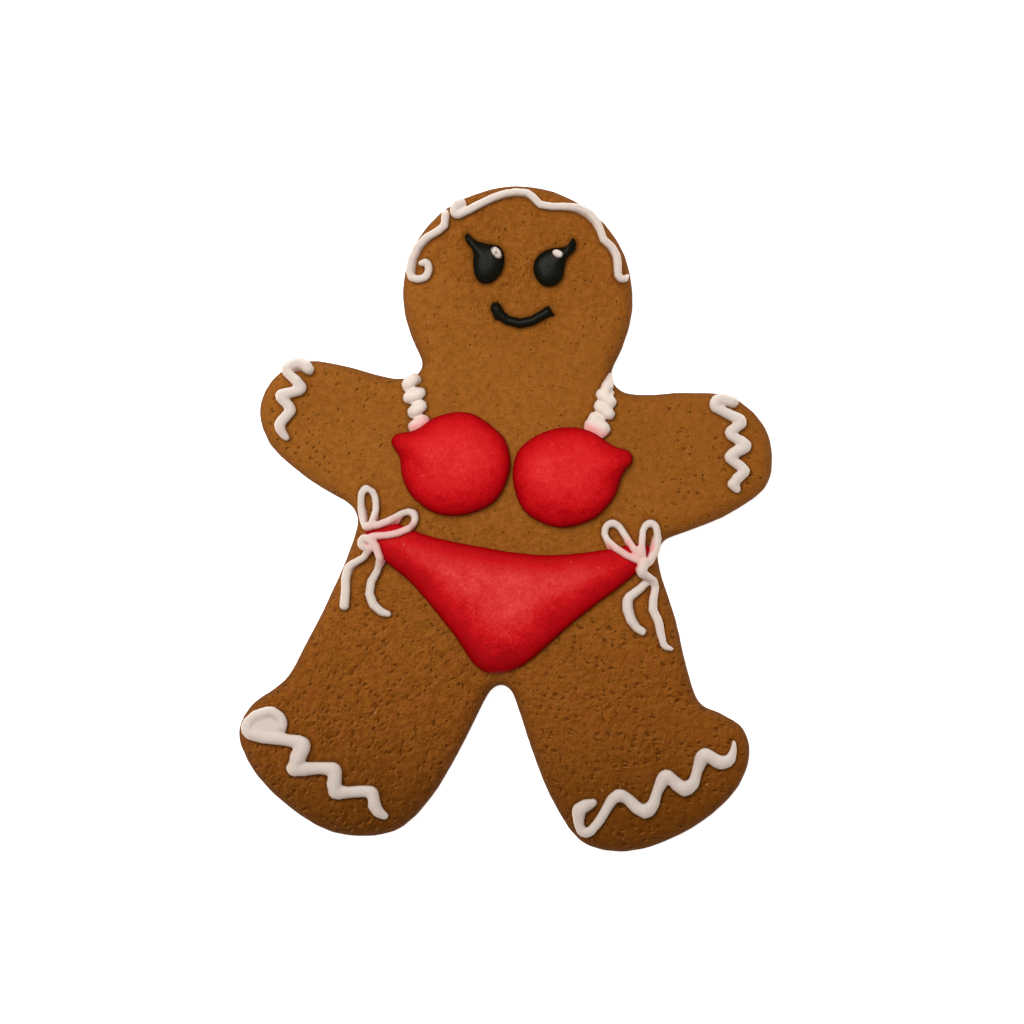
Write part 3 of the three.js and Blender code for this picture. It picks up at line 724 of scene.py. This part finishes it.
def specks(board, place, size, share):
    """Sparse small dots, in that share of the cells of that size."""
    cell = board.node("ShaderNodeTexVoronoi", None, {"Vector": place, "Scale": 1 / size})
    chance, _, _ = board.parts(cell.out("Color"))
    return (1 - board.ease(cell, 0.02, 0.18)) * (chance < share)


def dents(board, place):
    """Open spots in the baked top, close together on the legs: 1 in the middle of each."""
    across, along, height = board.parts(place)
    top = board.ease(height, *DENT_TOP)
    arms = board.ease(abs(across), *ARMS)
    left = 1 - board.ease(across, *DENT_SIDES)
    head = board.ease(along, *DENT_HEAD)
    cluster = board.ease(board.noise(place, *DENT_CLUSTER), 0.35, 0.6)
    legs = 1 - board.ease(along, *DENT_LEGS)
    share = board.math("MAXIMUM", legs, arms * 0.3 + 0.37) * (cluster * 0.3 + 0.7)
    slanted = strokes(board, place, share, *LEFT_DENTS)
    scattered = strokes(board, place, share, *RIGHT_DENTS)
    upright = strokes(board, place, share, *HEAD_DENTS)
    marks = slanted * left + scattered * (1 - left)
    return (upright * head + marks * (1 - head)) * top


def gingerbread():
    """Baked crumb, with painted shade: darker towards the feet, at the side, towards the right arm, beside
    piped icing and in its pores and dents, and a painted highlight on one edge of each dent.
    """
    material, board, place, shader = finish_board("gingerbread")
    across, along, height = board.parts(place)
    # The place shifted towards the lamp, for the painted light and shade on the grain and the dents
    lit_place = board.vector("ADD", place, LIT_SHIFT)
    fine = board.noise(place, *FINE_CRUMB)
    grain = board.noise(place, *GRAIN)
    # Painted light and shade: the grain's relief, lighter where it faces the lamp
    relief_light_and_shade = grain - board.noise(lit_place, *GRAIN)
    patch = board.noise(place, *OVEN_PATCH)
    legs = 1 - board.ease(along, *SHADED_LEGS)
    tone = fine * 0.6 + grain * 0.75 + relief_light_and_shade * (legs * 0.6 + 0.15) + patch * 0.25 - 0.3

    marks = dents(board, place)
    baked_and_shaded = board.layered(ramp(board, tone, CRUMB_STOPS), [
        (board.ease(board.noise(place, *WARM_CRUMB), 0.4, 0.62), 0.25, WARM_BROWN),
        (board.ease(along, *PALE_BELLY) * (1 - board.ease(along, *PALE_FACE)), 0.2, PALE_BROWN),
        # Painted shade towards the legs and feet, up the side, towards the right arm and beside piped
        # icing
        (legs, 0.55, LEG_SHADE_TINT, "MULTIPLY"),
        (1 - board.ease(along, *SHADED_FEET), 0.72, FOOT_SHADE_TINT, "MULTIPLY"),
        (1 - board.ease(height, *SHADED_SIDE), 0.55, SIDE_SHADE_BROWN),
        (board.ease(across, *SHADED_ARM), 0.26, ARM_SHADE_BROWN),
        (1 - board.ease(attribute(board, "piped_gap"), *CONTACT_SHADE), 0.42, CONTACT_SHADE_BROWN),
        # Painted highlight on one edge of each dent, painted shade in the dents and down the pores
        (board.ease(dents(board, lit_place) - marks, 0.05, 0.6), 0.35, LIT_BROWN),
        (marks, 0.54, DENT_SHADE_BROWN),
        (board.ease(marks, 0.6, 1.0), 0.35, DENT_CORE_SHADE),
        (board.ease(attribute(board, "depth"), *PORE_SHADE), 0.4, PORE_SHADE_BROWN),
        (specks(board, place, *CRUMB_SPECKS), 0.4, CRUMB_SPECK),
    ])
    relief = fine * 0.2 + grain * 0.3 - marks * 1.1
    coat(board, shader, Base_Color=baked_and_shaded, Roughness=0.72 + fine * 0.2, Specular_IOR_Level=0.03)
    coat(board, shader, Normal=bump(board, relief, *CRUMB_BUMP))
    return material


def red_icing(name, middle, palest, lean):
    """Mottled red, dark at the rim, partly as painted shade where the flood curves down; the more it
    leans, the broader the painted shade is towards the feet; painted light on the side towards the head
    and painted shade at the briefs' tip.
    """
    material, board, place, shader = finish_board(name)
    inward = attribute(board, "inward")
    fine = board.noise(place, *RED_FINE)
    mottle = board.noise(place, *RED_MOTTLE)
    cloud = board.noise(place, *RED_CLOUD)
    uneven = fine * 1.3 + mottle * 0.8 + cloud * 0.8 - 1.45
    lively = board.ease(inward, *RED_CALM) * 0.58 + 0.12
    # Painted shade: the dark rim reaches further in on the side towards the feet
    depth = inward * (attribute(board, "edge_side") * lean + 0.9)
    _, along, _ = board.parts(place)
    tip_shade = 1 - board.ease(along, *SHADED_BRIEFS_TIP)
    bloom_and_shade = board.ease(depth, *RED_RIM) * 0.78 + uneven * lively
    # Painted light on the side towards the head, painted shade at the briefs' tip
    bloom_and_shade = bloom_and_shade + attribute(board, "northward") * 0.07 - tip_shade * 0.13
    colour = ramp(board, bloom_and_shade, [*RED_RIM_STOPS, (0.78, middle), (1.0, palest)])
    colour = board.layered(colour, [(specks(board, place, *RED_SPECKS), 0.35, RED_SPECK)])
    coat(board, shader, Base_Color=colour, Roughness=0.5 + fine * 0.14, Specular_IOR_Level=0.03)
    coat(board, shader, Normal=bump(board, fine * 0.7 + mottle, *RED_BUMP))
    return material


def black_icing():
    material, board, place, shader = finish_board("black_icing")
    fine = board.noise(place, *BLACK_FINE)
    cloud = board.noise(place, *BLACK_CLOUD)
    colour = board.mix(cloud, *BLACKS)
    coat(board, shader, Base_Color=colour, Roughness=0.28 + fine * 0.14, Specular_IOR_Level=0.06)
    coat(board, shader, Normal=bump(board, fine + cloud, *BLACK_BUMP))
    return material


def white_icing(name, worn=0.0, cream=0.0):
    """Dull white with painted light and shade: a painted glow on the flanks, a painted highlight on the
    side towards the head, painted shade on the side towards the feet and towards the feet themselves;
    stained where it lies by the red.
    """
    material, board, place, shader = finish_board(name)
    fine = board.noise(place, *WHITE_FINE)
    cloud = board.noise(place, *WHITE_CLOUD)
    crest = board.mix(cloud, *CREST_WHITES)
    flank = board.mix(cloud, *GLOWING_FLANK_WHITES)
    # Painted glow: the flanks warmer and brighter than the crest
    painted_glow_white = board.mix(board.ease(attribute(board, "upward"), 0.35, 0.95), flank, crest)
    northward = attribute(board, "northward")
    _, along, _ = board.parts(place)
    stain = 1 - board.ease(attribute(board, "red_gap"), *RED_BLEED)
    blotches = board.ease(cloud * 0.7 + fine * 0.3, 0.2, 0.55)
    colour = board.layered(painted_glow_white, [
        # Painted highlight on the side towards the head, painted shade on the side towards the feet and
        # towards the feet themselves
        (board.ease(northward, 0.1, 0.9), 0.5, LIT_WHITE),
        (board.ease(northward * -1, 0.1, 0.9), 0.45, SHADED_WHITE),
        (cloud, cream, CREAM_WHITE),
        (1 - board.ease(along, *WHITE_FEET_SHADE), 0.25, FOOT_SHADE_WHITE),
        (stain * blotches, 0.68, STAINED_WHITE),
        (board.ease(board.noise(place, *WHITE_WEAR), 0.5, 0.6), worn, WORN_WHITE),
    ])
    coat(board, shader, Base_Color=colour, Roughness=0.45 + fine * 0.15, Specular_IOR_Level=0.15)
    coat(board, shader, Normal=bump(board, fine + cloud, *WHITE_BUMP))
    return material


def paper():
    material, board, place, shader = finish_board("paper")
    colour = board.mix(board.noise(place, *PAPER_CLOUD), *PAPER_WHITES)
    coat(board, shader, Base_Color=colour, Roughness=0.7, Specular_IOR_Level=0.2)
    coat(board, shader, Emission_Color=colour, Emission_Strength=PAPER_GLOW)
    return material


# The cookie and its icing

gingerbread_finish = gingerbread()
cup_finish = red_icing("cup_icing", *CUP_REDS, lean=0.28)
briefs_finish = red_icing("briefs_icing", *BRIEFS_REDS, lean=0.45)
strap_finish = white_icing("strap_icing", cream=1.0)
red_finishes = {"cup_left": cup_finish, "cup_right": cup_finish, "briefs": briefs_finish}
black_finishes = dict.fromkeys(BLACK_PIECES, black_icing())
white_finishes = {
    **dict.fromkeys(WHITE_PIECES, white_icing("white_icing")),
    "glint_left": white_icing("worn_icing", worn=0.85),
    "strap_left": strap_finish,
    "strap_right": strap_finish,
}

cookie = fine_copy("cookie", "baked_cookie", COOKIE_MESH)
shaped(cookie, crumb_tree(), {**CRUMB_RELIEF, "Material": gingerbread_finish})

icing = icing_tree()
red = iced(icing, RED_PIECES, RED_RELIEF, cookie, cookie, red_finishes)
black = iced(icing, BLACK_PIECES, BLACK_RELIEF, cookie, cookie, black_finishes)
all_red = joined("all_red", red.values())
ground = joined("ground", [cookie, *red.values(), *black.values()])
white = iced(icing, WHITE_PIECES, WHITE_RELIEF, ground, all_red, white_finishes)

all_piped = joined("all_piped", [*black.values(), *white.values()])
all_icing = joined("all_icing", [all_red, all_piped])
shaped(cookie, pore_tree(), {
    **PORE_RELIEF,
    "Covered": all_icing,
    "Piped": all_piped,
    "Material": gingerbread_finish,
})

for helper in (all_red, all_piped, all_icing, ground):
    bpy.data.objects.remove(helper)

finished(cookie, "cookie")
for slot, pieces in {"red_icing": red, "black_icing": black, "white_icing": white}.items():
    for node, piece in pieces.items():
        finished(piece, node)


# Floor, light and camera


def lay_floor():
    """A sheet of white paper, far wider than the picture."""
    signs = [(-1, -1), (1, -1), (1, 1), (-1, 1)]
    corners = [(x * FLOOR_HALF, y * FLOOR_HALF, 0) for x, y in signs]
    mesh = bpy.data.meshes.new("floor")
    mesh.from_pydata(corners, [], [(0, 1, 2, 3)])
    mesh.materials.append(paper())
    placed("floor", mesh)


def hang_window():
    """A square soft light that faces the cookie."""
    lamp = bpy.data.lights.new("window", "AREA")
    lamp.size = WINDOW_SIZE
    lamp.energy = WINDOW_POWER
    light = placed("window", lamp)
    light.location = WINDOW_PLACE
    light.rotation_euler = (-WINDOW_PLACE).to_track_quat("-Z", "Y").to_euler()
    light.visible_camera = False


def set_camera():
    """Straight above the cookie, far enough off for the lens to take in the field."""
    lens = bpy.data.cameras.new("camera")
    lens.lens = LENS
    lens.sensor_width = SENSOR
    camera = placed("camera", lens)
    camera.location = VIEW_MIDDLE + Vector((0, 0, FIELD * LENS / SENSOR))
    bpy.context.scene.camera = camera


def set_room():
    world = bpy.data.worlds.new("room")
    world.use_nodes = True
    backdrop = world.node_tree.nodes["Background"]
    backdrop.inputs["Color"].default_value = (1.0, 1.0, 1.0, 1.0)
    backdrop.inputs["Strength"].default_value = ROOM_GLOW
    bpy.context.scene.world = world
    bpy.context.scene.view_settings.view_transform = "Standard"


lay_floor()
hang_window()
set_camera()
set_room()
